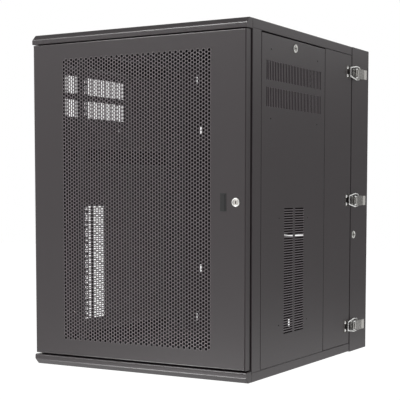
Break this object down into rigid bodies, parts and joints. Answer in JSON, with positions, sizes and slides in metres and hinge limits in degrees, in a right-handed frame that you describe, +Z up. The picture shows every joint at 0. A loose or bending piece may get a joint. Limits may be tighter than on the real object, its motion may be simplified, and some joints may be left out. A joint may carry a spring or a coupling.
{
  "type": "wall mount network cabinet",
  "caption": "Swing-out wall mount rack cabinet with a perforated locking door, vented lift-off side panels, rack rails and draw latches on a hinged wall section.",
  "frame": {"origin": "centre of the wall bolt pattern on the back face", "axes": "+X right as seen from the front, +Y towards the wall, +Z up; the door faces -Y"},
  "size_m": [0.701, 0.813, 0.916],
  "materials": {
    "powder_coat": "fine satin powder coat, dark warm grey",
    "inner_coat": "satin powder coat inside",
    "rail_coat": "black powder coat rack rail",
    "chrome": "bright chrome plated zinc",
    "zinc": "bright zinc plated steel"
  },
  "bodies": {
    "wall_section": {"back_panel": "powder_coat", "wall_left_side": "powder_coat", "wall_right_side": "powder_coat", "wall_top": "powder_coat", "wall_bottom": "powder_coat", "hinge_wall_leaves": "powder_coat", "hinge_pins": "zinc", "latch_bases": "chrome", "wall_lock_housing": "chrome"},
    "cabinet_body": {"top_cover": "powder_coat", "bottom_cover": "powder_coat", "top_trim": "powder_coat", "bottom_trim": "powder_coat", "left_front_post": "powder_coat", "right_front_post": "powder_coat", "front_header": "inner_coat", "front_sill": "inner_coat", "left_side_strip": "powder_coat", "right_side_strip": "powder_coat", "rear_frame": "inner_coat", "rack_rail_front_left": "rail_coat", "rack_rail_front_right": "rail_coat", "rack_rail_rear_left": "rail_coat", "rack_rail_rear_right": "rail_coat", "left_depth_brackets": "inner_coat", "right_depth_brackets": "inner_coat", "hinge_body_leaves": "powder_coat", "latch_strikes": "chrome", "door_pivot_pins": "zinc", "lock_keeper": "inner_coat"},
    "door": {"door_skin": "powder_coat", "door_left_stiffener": "inner_coat", "door_right_stiffener": "inner_coat", "door_pivot_blocks": "zinc", "door_lock_housing": "chrome"},
    "door_lock": {"door_lock_plug": "chrome", "door_lock_cam": "zinc"},
    "left_panel": {"left_side_panel": "powder_coat", "left_panel_lock_housing": "chrome"},
    "right_panel": {"right_side_panel": "powder_coat", "right_panel_lock_housing": "chrome"},
    "left_panel_lock": {"left_panel_lock_plug": "chrome", "left_panel_lock_cam": "zinc"},
    "right_panel_lock": {"right_panel_lock_plug": "chrome", "right_panel_lock_cam": "zinc"},
    "wall_lock": {"wall_lock_plug": "chrome", "wall_lock_cam": "zinc"},
    "latch_lever_top": {"latch_lever_top": "chrome"},
    "latch_bail_top": {"latch_bail_top": "chrome"},
    "latch_lever_middle": {"latch_lever_middle": "chrome"},
    "latch_bail_middle": {"latch_bail_middle": "chrome"},
    "latch_lever_bottom": {"latch_lever_bottom": "chrome"},
    "latch_bail_bottom": {"latch_bail_bottom": "chrome"}
  },
  "joints": [
    {"name": "body_swing", "type": "hinge", "parent": "wall_section", "child": "cabinet_body", "pos_m": [-0.341, -0.13175, 0], "axis": [0, 0, -1], "range_deg": [0, 95]},
    {"name": "door_swing", "type": "hinge", "parent": "cabinet_body", "child": "door", "pos_m": [-0.32, -0.7975, 0], "axis": [0, 0, -1], "range_deg": [0, 115]},
    {"name": "left_panel_tilt", "type": "hinge", "parent": "cabinet_body", "child": "left_panel", "pos_m": [-0.334, -0.532, -0.4317], "axis": [0, -1, 0], "range_deg": [0, 20]},
    {"name": "right_panel_tilt", "type": "hinge", "parent": "cabinet_body", "child": "right_panel", "pos_m": [0.334, -0.532, -0.4317], "axis": [0, 1, 0], "range_deg": [0, 20]},
    {"name": "door_lock_turn", "type": "hinge", "parent": "door", "child": "door_lock", "pos_m": [0.304, -0.8, 0], "axis": [0, -1, 0], "range_deg": [0, 90]},
    {"name": "left_panel_lock_turn", "type": "hinge", "parent": "left_panel", "child": "left_panel_lock", "pos_m": [-0.334, -0.532, 0.408], "axis": [1, 0, 0], "range_deg": [0, 90]},
    {"name": "right_panel_lock_turn", "type": "hinge", "parent": "right_panel", "child": "right_panel_lock", "pos_m": [0.334, -0.532, 0.408], "axis": [1, 0, 0], "range_deg": [0, 90]},
    {"name": "wall_lock_turn", "type": "hinge", "parent": "wall_section", "child": "wall_lock", "pos_m": [0.334, -0.11, -0.103], "axis": [-1, 0, 0], "range_deg": [0, 90]},
    {"name": "latch_lever_top_turn", "type": "hinge", "parent": "wall_section", "child": "latch_lever_top", "pos_m": [0.343, -0.119, 0.379], "axis": [0, 0, -1], "range_deg": [0, 95]},
    {"name": "latch_bail_top_turn", "type": "hinge", "parent": "latch_lever_top", "child": "latch_bail_top", "pos_m": [0.3416, -0.094, 0.379], "axis": [0, 0, -1], "range_deg": [-95, 0]},
    {"name": "latch_lever_middle_turn", "type": "hinge", "parent": "wall_section", "child": "latch_lever_middle", "pos_m": [0.343, -0.119, 0], "axis": [0, 0, -1], "range_deg": [0, 95]},
    {"name": "latch_bail_middle_turn", "type": "hinge", "parent": "latch_lever_middle", "child": "latch_bail_middle", "pos_m": [0.3416, -0.094, 0], "axis": [0, 0, -1], "range_deg": [-95, 0]},
    {"name": "latch_lever_bottom_turn", "type": "hinge", "parent": "wall_section", "child": "latch_lever_bottom", "pos_m": [0.343, -0.119, -0.379], "axis": [0, 0, -1], "range_deg": [0, 95]},
    {"name": "latch_bail_bottom_turn", "type": "hinge", "parent": "latch_lever_bottom", "child": "latch_bail_bottom", "pos_m": [0.3416, -0.094, -0.379], "axis": [0, 0, -1], "range_deg": [-95, 0]}
  ],
  "couplings": [
    {"joint": "latch_bail_top_turn", "follows": "latch_lever_top_turn", "ratio": -1},
    {"joint": "latch_bail_middle_turn", "follows": "latch_lever_middle_turn", "ratio": -1},
    {"joint": "latch_bail_bottom_turn", "follows": "latch_lever_bottom_turn", "ratio": -1}
  ]
}
